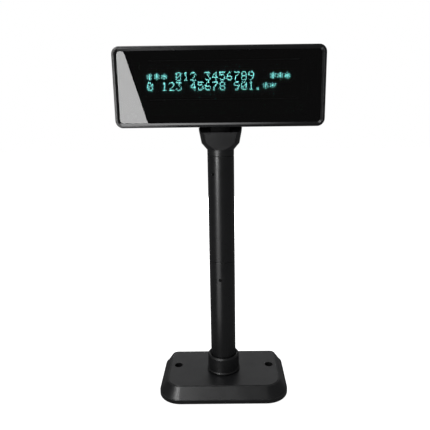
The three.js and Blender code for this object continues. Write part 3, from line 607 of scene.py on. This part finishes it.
# ---------------------------------------------------------------- screws
def cross_screw(name, length, head_h=SCREW_HEAD_H):
    """A pan-head screw with a cross recess, its head on z = 0 and its shank below."""
    head_r, shank_r = SCREW_HEAD_R, SCREW_SHANK_R
    profile = eased([(shank_r * 0.6, -length, 0), (shank_r, -length + 0.6, 0.1), (shank_r, 0, 0),
                     (head_r, 0, 0.15), (head_r, head_h * 0.45, head_h * 0.35),
                     (head_r * 0.6, head_h, head_h * 0.6), (head_r * 0.2, head_h, 0)])
    screw = turned(name, profile, 40)
    arm, width, bottom = head_r * 0.55, head_r * 0.13, head_h * 0.35
    slots = [block("slot", (-arm, -width, bottom), (arm, width, head_h + 1)),
             block("slot", (-width, -arm, bottom), (width, arm, head_h + 1))]
    return soften(combine(screw, slots), 0.08, 60, 2)


def point_along(piece, place_mm, direction):
    """Turns a piece built along +Z towards a direction and moves it to its place."""
    turn = Vector(direction).to_track_quat("Z", "Y").to_matrix().to_4x4()
    piece.data.transform(Matrix.Translation(Vector(place_mm) * MM) @ turn)
    return piece


def screws():
    for i, (x, y) in enumerate(PLATE_HOLES, 1):
        screw = cross_screw(f"plate_screw_{i}", PLATE_SCREW_L)
        point_along(screw, (x, y, PLATE_LOW.z + SCREW_SINK), (0, 0, -1))
        place(screw, "base", STEEL, f"base_plate_screw_{i}")
    for i, (x, y) in enumerate(FLANGE_HOLES, 1):
        screw = cross_screw(f"flange_screw_{i}", FLANGE_SCREW_L)
        point_along(screw, (x, y, PLATE_LOW.z + SCREW_SINK), (0, 0, -1))
        place(screw, "base", STEEL, f"pole_socket_screw_{i}")
    for i in range(1, 5):
        low, high = node_box(f"case_screw_{i}")
        screw = cross_screw(f"cover_screw_{i}", CASE_SCREW_L, CASE_HEAD_H)
        middle = (low + high) / 2
        point_along(screw, (middle.x, high.y - CASE_HEAD_SEAT, middle.z), (0, 1, 0))
        place(screw, "head", DARK_STEEL, f"case_screw_{i}")


def outward(degrees):
    """The direction out of the pole, turned from straight ahead."""
    angle = math.radians(degrees - 90)
    return Vector((math.cos(angle), math.sin(angle), 0))


def lock_screws():
    for node, (z, degrees) in LOCKS.items():
        outer = POLE_R - LOCK_SUNK
        profile = eased([(LOCK_R * 0.5, 0, 0), (LOCK_R, 0.4, 0.1), (LOCK_R, LOCK_BITE, 0.3),
                         (LOCK_R * 0.5, LOCK_BITE, 0)])
        screw = turned(f"{node}_body", profile, 40)
        combine(screw, [rod("socket", LOCK_R * 0.52, (0, 0, LOCK_BITE - 1.3), (0, 0, LOCK_BITE + 1), 6)])
        point_along(screw, outward(degrees) * (outer - LOCK_BITE) + Vector((0, 0, z)), outward(degrees))
        # The set screws share the darkened plastic, whose colour is painted shade.
        place(screw, "base", SHELL_PAINTED_SHADE, node)


# ---------------------------------------------------------------- pole
def lock_hole(z, degrees):
    """A cutter through one side of the tube's wall."""
    centre, way = Vector((0, 0, z)), outward(degrees)
    inner, outer = POLE_BORE - 4, POLE_R + 2
    return rod("lock_hole", LOCK_HOLE_R, centre + way * inner, centre + way * outer, 40)


def pole_tube(name, low, high, node, *locks):
    profile = eased([(POLE_BORE, low, 0.1), (POLE_R, low, 0.4), (POLE_R, high, 0.4), (POLE_BORE, high, 0.1)],
                    closed=True)
    tube = turned(name, profile, ring=True)
    combine(tube, [lock_hole(*LOCKS[lock]) for lock in locks])
    place(soften(tube, 0.12, 60, 2), "base", PAINT, node)


def pole():
    pole_tube("lower_tube", LOWER_LOW.z, LOWER_HIGH.z, "lower_pole", "lock_screw_lower")
    pole_tube("upper_tube", UPPER_LOW.z, UPPER_HIGH.z, "upper_pole", "lock_screw_upper", "lock_screw_rear")


# ---------------------------------------------------------------- neck
def neck_bell(name):
    """The neck's flared outline, turned about the pole's axis."""
    inner = NECK_BORE + 0.5
    profile = eased([(inner, NECK_BOTTOM, 0), (NECK_R, NECK_BOTTOM, 0.35), (NECK_R, 288.4, 0.6),
                     (21.1, 295.5, 0.7), (22.5, 302.6, 4), (23.7, 309, 0), (24, 313, 0),
                     (inner, 313, 0)], steps=6)
    return turned(name, profile)


def ear_outline():
    """The neck's outline from the side: flat front and back, and round ears about the tilt axis."""
    start = math.pi - math.asin((NECK_FRONT_TOP - TILT_Z) / EAR_R)
    arc = [(EAR_R * math.cos(start * i / 24), TILT_Z + EAR_R * math.sin(start * i / 24)) for i in range(25)]
    return ([(-NECK_FLAT_Y, 270), (NECK_FLAT_Y, 270), (NECK_FLAT_Y, NECK_REAR_TOP), (EAR_R, NECK_REAR_TOP)]
            + arc + [(-NECK_FLAT_Y, NECK_FRONT_TOP)])


def neck():
    yoke = neck_bell("yoke")
    combine(yoke, [side_extrusion("ears", ear_outline(), NECK_SPAN)], "INTERSECT")
    stub = turned("stub", eased([(NECK_BORE, YOKE_LOW.z, 0), (NECK_STUB_R, YOKE_LOW.z, 0.6),
                                 (NECK_STUB_R, NECK_BOTTOM + 2, 0), (NECK_BORE, NECK_BOTTOM + 2, 0)]))
    combine(yoke, [stub], "UNION")
    combine(yoke, [
        rod("cradle", CRADLE_R, (-EAR_INNER, 0, TILT_Z), (EAR_INNER, 0, TILT_Z), 64),
        block("mouth", (-EAR_INNER, NECK_FRONT_WALL - NECK_FLAT_Y, TILT_Z), (EAR_INNER, 40, TILT_Z + 30)),
        block("cable_way", *NECK_WAY),
        rod("bore", NECK_BORE, (0, 0, YOKE_LOW.z - 1), (0, 0, NECK_BORE_TOP), 48),
        rod("seat", SEAT_R, (-NECK_SPAN, 0, TILT_Z), (-SEAT_X, 0, TILT_Z), 48),
        rod("seat", SEAT_R, (SEAT_X, 0, TILT_Z), (NECK_SPAN, 0, TILT_Z), 48),
    ])
    place(soften(yoke, 0.35, 24, 3), "neck", SHELL, "neck_yoke")
    for node, x0, x1 in (("bolt_cap_left", -NECK_SPAN, -CAP_X), ("bolt_cap_right", CAP_X, NECK_SPAN)):
        cap = neck_bell(f"{node}_disc")
        combine(cap, [rod("disc", SEAT_R - GAP, (x0, 0, TILT_Z), (x1, 0, TILT_Z), 48)], "INTERSECT")
        place(soften(cap, 0.3, 40, 3), "neck", SHELL, node)


def bolt_way():
    """A cutter along the tilt axis."""
    return rod("bolt_way", BOLT_WAY_R, (-NECK_SPAN, 0, TILT_Z), (NECK_SPAN, 0, TILT_Z))


def knuckle():
    low, high = KNUCKLE_LOW, KNUCKLE_HIGH
    front, back = KNUCKLE_FRONT, KNUCKLE_BACK
    barrel = rod("hinge_knuckle", KNUCKLE_R, (-KNUCKLE_HALF, 0, TILT_Z), (KNUCKLE_HALF, 0, TILT_Z), 72)
    web = block("web", (-KNUCKLE_HALF, front, TILT_Z), (KNUCKLE_HALF, back, high.z - 1))
    plate = block("plate", (low.x, front, high.z - KNUCKLE_PLATE_T), (high.x, back, high.z))
    combine(barrel, [web, plate], "UNION")
    combine(barrel, [bolt_way()])
    # The knuckle takes the darkened plastic: painted shade under the head.
    place(soften(barrel, 0.5, 30, 3), "head", SHELL_PAINTED_SHADE, "tilt_knuckle")


def tilt_washers():
    """The two nylon discs that fill the space between the knuckle and the ears."""
    radius = node_box("tilt_washer_left")[1].y
    for side, node in ((-1, "tilt_washer_left"), (1, "tilt_washer_right")):
        disc = rod(f"{node}_disc", radius, (side * (KNUCKLE_HALF + 0.05), 0, TILT_Z),
                   (side * (EAR_INNER - 0.05), 0, TILT_Z), 64)
        combine(disc, [bolt_way()])
        place(soften(disc, 0.12, 30, 2), "head", NYLON, node)


def hinge_hood():
    low, high = node_box("hinge_hood")
    depth = high.y - low.y
    rise = math.tan(math.radians(HOOD_SLOPE))
    side = [(low.y, TILT_Z + low.y * rise), (high.y, TILT_Z + high.y * rise),
            (high.y, BEZEL_LOW.z - GAP), (low.y, BEZEL_LOW.z - GAP)]
    hood = side_extrusion("hinge_hood_plate", side, high.x)
    # The hood takes the darkened plastic: painted shade under the head.
    place(soften(hood, depth * 0.25, 30, 3), "head", SHELL_PAINTED_SHADE, "hinge_hood")


# ---------------------------------------------------------------- head
def front_bezel():
    front, seam = BEZEL_LOW.y, BEZEL_HIGH.y
    ring = RING_FLAT + RING_BEVEL
    seat = LENS_HIGH.y + GAP
    ledge, back = ring + LENS_LEDGE, seat + LENS_SEAT_T
    profile = eased([(0, seam, 0.35), (0, front, 1.3), (RING_FLAT, front, 0.35), (ring, LENS_LOW.y, 0.12),
                     (ring, seat, 0.05), (ledge, seat, 0.2), (ledge, back, 0.2), (HEAD_WALL, back, 0.1),
                     (HEAD_WALL, seam, 0.1)], closed=True, steps=6)
    bezel = upright_block("bezel_frame", HEAD_W, HEAD_H, HEAD_CORNER, profile, ring=True)
    place(bezel, "head", SHELL_FINE, "front_bezel")


def display_lens():
    corner = HEAD_CORNER - RING_FLAT - RING_BEVEL + 0.4
    place(pane("window", LENS_LOW, LENS_HIGH, corner, 0.12), "head", LENS_TINT, "display_lens")


def vent_slots():
    slots = []
    for side in (-1, 1):
        for i in range(VENT_COUNT):
            x = side * VENT_X + (i - (VENT_COUNT - 1) / 2) * VENT_PITCH
            slots.append(upright_slot(x))
    return slots


def upright_slot(x):
    """One vent slot with round ends, through the cover's back."""
    ends = [(x + VENT_R * math.cos(a), HEAD_MID + VENT_HALF * math.copysign(1, math.sin(a) + 1e-9)
             + VENT_R * math.sin(a)) for a in (math.pi * k / 8 for k in range(-8, 8))]
    ends.sort(key=lambda p: math.atan2(p[1] - HEAD_MID, p[0] - x))
    return skin("vent", [[(px, y, pz) for px, pz in ends] for y in (10, COVER_HIGH.y + 1)])


def rear_cover():
    seam, back = COVER_LOW.y, COVER_HIGH.y
    inside = back - HEAD_WALL
    outer = eased([(3, seam, 0), (0, seam, 0.35), (0, back, BACK_TAPER), (20, back, 0)], steps=12)
    inner = eased([(HEAD_WALL, seam - 1, 0), (HEAD_WALL, inside, BACK_TAPER - 1.5), (20, inside, 0)],
                  steps=8)
    cover = upright_block("back_shell", HEAD_W, HEAD_H, HEAD_CORNER, outer)
    combine(cover, [upright_block("cut", HEAD_W, HEAD_H, HEAD_CORNER, inner)])
    posts = [(x, HEAD_MID + z) for x in (-CASE_POST_X, CASE_POST_X) for z in (-CASE_POST_Z, CASE_POST_Z)]
    combine(cover, [rod("post", CASE_POST_R, (x, seam + 0.3, z), (x, back - 1.2, z))
                    for x, z in posts], "UNION")
    tools = [rod("recess", CASE_SINK_R, (x, CASE_SINK_Y, z), (x, back + 2, z), 40) for x, z in posts]
    tools += [rod("way", CASE_WAY_R, (x, seam - 1, z), (x, CASE_SINK_Y + 1, z)) for x, z in posts]
    tools.append(block("neck_way", (-KNUCKLE_HALF - 0.5, NECK_HOLE_FRONT, COVER_LOW.z - 1),
                       (KNUCKLE_HALF + 0.5, NECK_HOLE_BACK, COVER_LOW.z + NECK_HOLE_H)))
    tools.append(label_recess(back))
    combine(cover, tools + vent_slots())
    place(soften(cover, 0.3, 55, 2), "head", SHELL, "rear_cover")


def label_recess(back):
    """A shallow rounded panel in the middle of the back, where a plain label would go."""
    loops = [[(x, y, HEAD_MID + z) for x, z in rect_loop(LABEL_W, LABEL_H, 2)]
             for y in (back - LABEL_DEPTH, back + 1)]
    return skin("label", loops)


# ---------------------------------------------------------------- display tube
DIGITS = {
    "0": (0x0E, 0x11, 0x13, 0x15, 0x19, 0x11, 0x0E),
    "1": (0x04, 0x0C, 0x04, 0x04, 0x04, 0x04, 0x0E),
    "2": (0x0E, 0x11, 0x01, 0x02, 0x04, 0x08, 0x1F),
    "3": (0x1F, 0x02, 0x04, 0x02, 0x01, 0x11, 0x0E),
    "4": (0x02, 0x06, 0x0A, 0x12, 0x1F, 0x02, 0x02),
    "5": (0x1F, 0x10, 0x1E, 0x01, 0x01, 0x11, 0x0E),
    "6": (0x06, 0x08, 0x10, 0x1E, 0x11, 0x11, 0x0E),
    "7": (0x1F, 0x01, 0x02, 0x04, 0x08, 0x08, 0x08),
    "8": (0x0E, 0x11, 0x11, 0x0E, 0x11, 0x11, 0x0E),
    "9": (0x0E, 0x11, 0x11, 0x0F, 0x01, 0x02, 0x0C),
    "*": (0x00, 0x04, 0x15, 0x0E, 0x15, 0x04, 0x00),
    ".": (0x00, 0x00, 0x00, 0x00, 0x00, 0x0C, 0x0C),
    " ": (0x00,) * 7,
}
LINES = ("*** 012 3456789  ***", "0 123 45678 901.**  ")
CELL_PITCH = 7.68
DOT_PITCH_X = 1.2
DOT_PITCH_Z = 1.28
DOT_W = 1.08
DOT_H = 1.14
LINE_PITCH = 9.95
TEXT_X = -1.0  # middle of the lines
TEXT_Z = 361.0  # middle between the two lines
GLOW_CELL = 1.0  # grid step of the light that spreads over the anode plate
GLOW_REACH = 2.2


def dot_places():
    """The middles of all lit dots, as (x, z)."""
    places = []
    for row, text in enumerate(LINES):
        middle_z = TEXT_Z + LINE_PITCH * (0.5 - row)
        for column, character in enumerate(text):
            middle_x = TEXT_X + CELL_PITCH * (column - (len(text) - 1) / 2)
            for line, bits in enumerate(DIGITS[character]):
                for k in range(5):
                    if bits >> (4 - k) & 1:
                        places.append((middle_x + DOT_PITCH_X * (k - 2),
                                       middle_z + DOT_PITCH_Z * (3 - line)))
    return places


def lit_dots():
    """Each lit dot as a small raised tile on the anode plate."""
    face = ANODE_LOW.y
    points, faces = [], []
    for x, z in dot_places():
        start = len(points)
        for y, share in ((face - 0.02, 1.0), (face - 0.10, 0.94)):
            points += [(x + u * share, y, z + v * share) for u, v in tile_outline(DOT_W, DOT_H)]
        size = (len(points) - start) // 2
        faces.append(tuple(start + size + i for i in range(size)))
        for i in range(size):
            j = (i + 1) % size
            faces.append((start + i, start + j, start + size + j, start + size + i))
    dots = mesh_object("lit_dots", points, faces)
    dots.data.materials.append(lit_phosphor())
    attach(dots, "head")


def tile_outline(width, height):
    """A rectangle with cut corners."""
    x, y, cut = width / 2, height / 2, width * 0.18
    return [(x, -y + cut), (x, y - cut), (x - cut, y), (-x + cut, y), (-x, y - cut), (-x, -y + cut),
            (-x + cut, -y), (x - cut, -y)]


def anode_plate():
    """The anode plate as a fine grid, which carries the spread light as a colour for each point."""
    low, high = ANODE_LOW, ANODE_HIGH
    columns = round((high.x - low.x) / GLOW_CELL)
    rows = round((high.z - low.z) / GLOW_CELL)
    dots = dot_places()
    points, faces, light = [], [], []
    for r in range(rows + 1):
        z = low.z + (high.z - low.z) * r / rows
        near = [(dx, dz) for dx, dz in dots if abs(dz - z) < 3 * GLOW_REACH]
        for c in range(columns + 1):
            x = low.x + (high.x - low.x) * c / columns
            points.append((x, low.y, z))
            light.append(sum(math.exp(-((dx - x) ** 2 + (dz - z) ** 2) / GLOW_REACH ** 2) for dx, dz in near
                             if abs(dx - x) < 3 * GLOW_REACH))
    for r in range(rows):
        for c in range(columns):
            i = r * (columns + 1) + c
            faces.append((i, i + 1, i + columns + 2, i + columns + 1))
    plate = mesh_object("anode_plate", points, faces)
    glow = plate.data.color_attributes.new("glow", "FLOAT_COLOR", "POINT")
    for item, amount in zip(glow.data, light):
        item.color = (*tint(GLOW_COLOUR, min(amount / 6, 1.0)), 1.0)
    thick = plate.modifiers.new("thickness", "SOLIDIFY")
    thick.thickness = (high.y - low.y) * MM
    thick.offset = -1
    place(plate, "head", anode_surface(), "vfd_anode_glass")


def tube_front():
    """The display tube's front pane, and the frit-sealed frame between its two glasses."""
    low, high = node_box("vfd_front_glass")
    place(pane("tube_pane", low, high, 1.0, 0.3), "head", TUBE_GLASS, "vfd_front_glass")
    low, high = node_box("vfd_spacer")
    profile = eased([(0, low.y, 0.3), (0, high.y, 0.3), (3, high.y, 0.3), (3, low.y, 0.3)], closed=True)
    middle = (low + high) / 2
    frame_ring = upright_block("tube_frame", high.x - low.x, high.z - low.z, 1.0, profile, True,
                               (middle.x, middle.z))
    place(frame_ring, "head", CHIP, "vfd_spacer")


# ---------------------------------------------------------------- pieces that keep their CAD shape
def carry_over():
    """Materials for the inner pieces, whose CAD shape is right."""
    looks = {
        NYLON: ["cable_header", "swivel_washer"],
        STEEL: ["vfd_leads_top", "vfd_leads_bottom", "tilt_nut", "tilt_lock_washer", "pole_socket",
                "knuckle_screw_1", "knuckle_screw_2"] + [f"board_screw_{i}" for i in range(1, 5)],
        DARK_STEEL: ["tilt_bolt", "pole_coupler"],
        BOARD: ["driver_board"],
        CHIP: ["controller_chip", "driver_chip_left", "driver_chip_right"],
        CAN: ["capacitor_1", "capacitor_2"],
        COPPER: ["supply_transformer"],
    }
    for material, nodes in looks.items():
        for node in nodes:
            mesh = frame["nodes"][node].data
            mesh.materials.clear()
            mesh.materials.append(material)


base_housing()
base_collar()
base_plate()
feet()
pole()
lock_screws()
screws()
neck()
knuckle()
tilt_washers()
hinge_hood()
front_bezel()
display_lens()
rear_cover()
anode_plate()
lit_dots()
tube_front()
carry_over()


# ---------------------------------------------------------------- camera
CAMERA_PLACE = Vector((6.42, -496.89, 322.78))
CAMERA_AZIMUTH = 0.28
CAMERA_PITCH = 12.45
CAMERA_ROLL = -0.70
FOCAL_SHARE = 1.02326  # focal length over the picture's width
SENSOR = 36
CENTRE_SHIFT = -0.02326  # shift of the picture's middle, over its width


def make_camera():
    azimuth, pitch, roll = map(math.radians, (CAMERA_AZIMUTH, CAMERA_PITCH, CAMERA_ROLL))
    ahead = Vector((-math.sin(azimuth) * math.cos(pitch), math.cos(azimuth) * math.cos(pitch),
                    -math.sin(pitch)))
    right = Vector((math.cos(azimuth), math.sin(azimuth), 0))
    up = right.cross(ahead)
    right, up = (right * math.cos(roll) + up * math.sin(roll), up * math.cos(roll) - right * math.sin(roll))
    data = bpy.data.cameras.new("camera")
    data.sensor_width = SENSOR
    data.lens = FOCAL_SHARE * SENSOR
    data.shift_x = CENTRE_SHIFT
    data.clip_start = 0.01
    camera = bpy.data.objects.new("camera", data)
    turn = Matrix((right, up, -ahead)).transposed().to_4x4()
    camera.matrix_world = Matrix.Translation(CAMERA_PLACE * MM) @ turn
    bpy.context.scene.collection.objects.link(camera)
    bpy.context.scene.camera = camera


make_camera()


# ---------------------------------------------------------------- studio
FLOOR_HALF = 4000
FLOOR_WHITE = 0.8
FLOOR_GLOW = 0.9
SOFTBOX_FAR = 1150
TOP_STRIPS = 12
TOP_STRIP_W = 30
TOP_END = 105
TOP_FADE = 185
TOP_GLOW = 6.0
TOP_Z = 520
TOP_Y = (-120, -20)
LENS_CARD_Y = -620
LENS_CARD_GLOW = 11.4
EDGE_TOP = 0.036  # where the card's edge crosses the lens's top, as a share of its width
EDGE_BOTTOM = 0.139
EDGE_FAR = -0.012
WORLD_LIGHT = 0.22  # the surroundings' strength on surfaces
WORLD_MIRROR = 0.09  # their strength in reflections


def floor():
    """White paper for the camera. It bounces the light that falls on it, and shows in no reflection."""
    half = FLOOR_HALF
    plane = mesh_object("floor", [(-half, -half, 0), (half, -half, 0), (half, half, 0), (-half, half, 0)],
                        [(0, 1, 2, 3)])
    material = bpy.data.materials.new("floor_paper")
    material.use_nodes = True
    tree = material.node_tree
    shader = tree.nodes["Principled BSDF"]
    shader.inputs["Base Color"].default_value = (FLOOR_WHITE,) * 3 + (1,)
    shader.inputs["Roughness"].default_value = 1.0
    shader.inputs["Specular IOR Level"].default_value = 0.0
    shader.inputs["Emission Color"].default_value = (1, 1, 1, 1)
    seen = tree.nodes.new("ShaderNodeMath")
    seen.operation = "MULTIPLY"
    seen.inputs[1].default_value = FLOOR_GLOW
    tree.links.new(tree.nodes.new("ShaderNodeLightPath").outputs["Is Camera Ray"], seen.inputs[0])
    tree.links.new(seen.outputs[0], shader.inputs["Emission Strength"])
    plane.data.materials.append(material)
    plane.visible_glossy = False


def light_card(name, corners, strength):
    """A lit card that shows only in reflections."""
    card = mesh_object(name, corners, [tuple(range(len(corners)))])
    material = bpy.data.materials.new(name)
    material.use_nodes = True
    tree = material.node_tree
    tree.nodes.clear()
    glow = tree.nodes.new("ShaderNodeEmission")
    glow.inputs["Strength"].default_value = strength
    out = tree.nodes.new("ShaderNodeOutputMaterial")
    tree.links.new(glow.outputs[0], out.inputs["Surface"])
    card.data.materials.append(material)
    card.visible_camera = False
    card.visible_diffuse = False
    card.visible_shadow = False
    card.visible_transmission = False


def bearing(azimuth, distance, z):
    """A point round the pole: azimuth 0 is towards the front, and negative is to the left."""
    angle = math.radians(azimuth)
    return (distance * math.sin(angle), -distance * math.cos(angle), z)


def mirrored(share, z):
    """Where the camera's ray, mirrored by the lens, meets the lens card's plane."""
    face = LENS_LOW.y
    x = LENS_LOW.x + share * (LENS_HIGH.x - LENS_LOW.x)
    ray = Vector((x, face, z)) - CAMERA_PLACE
    steps = (face - LENS_CARD_Y) / ray.y
    return Vector((x + ray.x * steps, LENS_CARD_Y, z + ray.z * steps))


def bearing_card(name, azimuths, heights, strength):
    """An upright card between two bearings, facing the pole."""
    (left, right), (low, high) = azimuths, heights
    corners = [(left, low), (right, low), (right, high), (left, high)]
    light_card(name, [bearing(azimuth, SOFTBOX_FAR, z) for azimuth, z in corners], strength)


def lens_card():
    """The card whose slanting edge shows in the lens."""
    top = mirrored(EDGE_TOP, LENS_HIGH.z)
    bottom = mirrored(EDGE_BOTTOM, LENS_LOW.z)
    along = (top - bottom) * 0.15
    far = mirrored(EDGE_FAR, LENS_LOW.z).x
    light_card("lens_card", [bottom - along, top + along, (far, LENS_CARD_Y, (top + along).z),
                             (far, LENS_CARD_Y, (bottom - along).z)], LENS_CARD_GLOW)


def top_cards():
    """The card over the head, as strips whose light fades towards the right."""
    front, back = TOP_Y
    for k in range(TOP_STRIPS):
        right = TOP_END - k * TOP_STRIP_W
        left = right - TOP_STRIP_W
        fade = min(1, (k + 0.5) * TOP_STRIP_W / TOP_FADE)
        light_card(f"top_card_{k}", [(left, front, TOP_Z), (right, front, TOP_Z), (right, back, TOP_Z),
                                     (left, back, TOP_Z)], TOP_GLOW * fade)


def light_cards():
    lens_card()
    bearing_card("softbox", (-41, -25), (60, 500), 9.5)
    bearing_card("high_softbox", (-42, -22), (700, 1400), 14.0)
    top_cards()
    light_card("backdrop", [(-900, 1200, 300), (500, 1200, 300), (500, 900, 1700), (-900, 900, 1700)], 0.5)
    light_card("floor_bounce", [bearing(-48, 200, -1), bearing(-15, 200, -1), bearing(-15, SOFTBOX_FAR, -1),
                                bearing(-48, SOFTBOX_FAR, -1)], 1.6)


def area_light(name, place_mm, target_mm, width, height, power):
    """A lamp that lights surfaces but never shows in a reflection."""
    data = bpy.data.lights.new(name, "AREA")
    data.shape = "RECTANGLE"
    data.size, data.size_y = width * MM, height * MM
    data.energy = power
    lamp = bpy.data.objects.new(name, data)
    lamp.location = Vector(place_mm) * MM
    lamp.rotation_euler = (Vector(target_mm) - Vector(place_mm)).to_track_quat("-Z", "Y").to_euler()
    lamp.visible_glossy = False
    bpy.context.scene.collection.objects.link(lamp)


def studio_world():
    """White for the camera, grey for the light on surfaces, and nearly dark in reflections."""
    world = bpy.data.worlds.new("studio")
    world.use_nodes = True
    tree = world.node_tree
    tree.nodes.clear()
    path = tree.nodes.new("ShaderNodeLightPath")
    out = tree.nodes.new("ShaderNodeOutputWorld")

    def background(value):
        node = tree.nodes.new("ShaderNodeBackground")
        node.inputs["Color"].default_value = (1, 1, 1, 1)
        node.inputs["Strength"].default_value = value
        return node.outputs[0]

    def choose(which, otherwise, chosen):
        mix = tree.nodes.new("ShaderNodeMixShader")
        tree.links.new(path.outputs[which], mix.inputs[0])
        tree.links.new(otherwise, mix.inputs[1])
        tree.links.new(chosen, mix.inputs[2])
        return mix.outputs[0]

    shown = choose("Is Glossy Ray", background(WORLD_LIGHT), background(WORLD_MIRROR))
    shown = choose("Is Camera Ray", shown, background(1.0))
    tree.links.new(shown, out.inputs["Surface"])
    bpy.context.scene.world = world


floor()
light_cards()
studio_world()
area_light("key", (-700, -600, 700), (0, 0, 200), 500, 500, 1.1)
area_light("overhead", (-100, 50, 1300), (0, 0, 100), 900, 900, 3.2)
area_light("rear", (200, 1300, 280), (0, 0, 230), 800, 300, 18.0)
bpy.context.scene.view_settings.view_transform = "Standard"
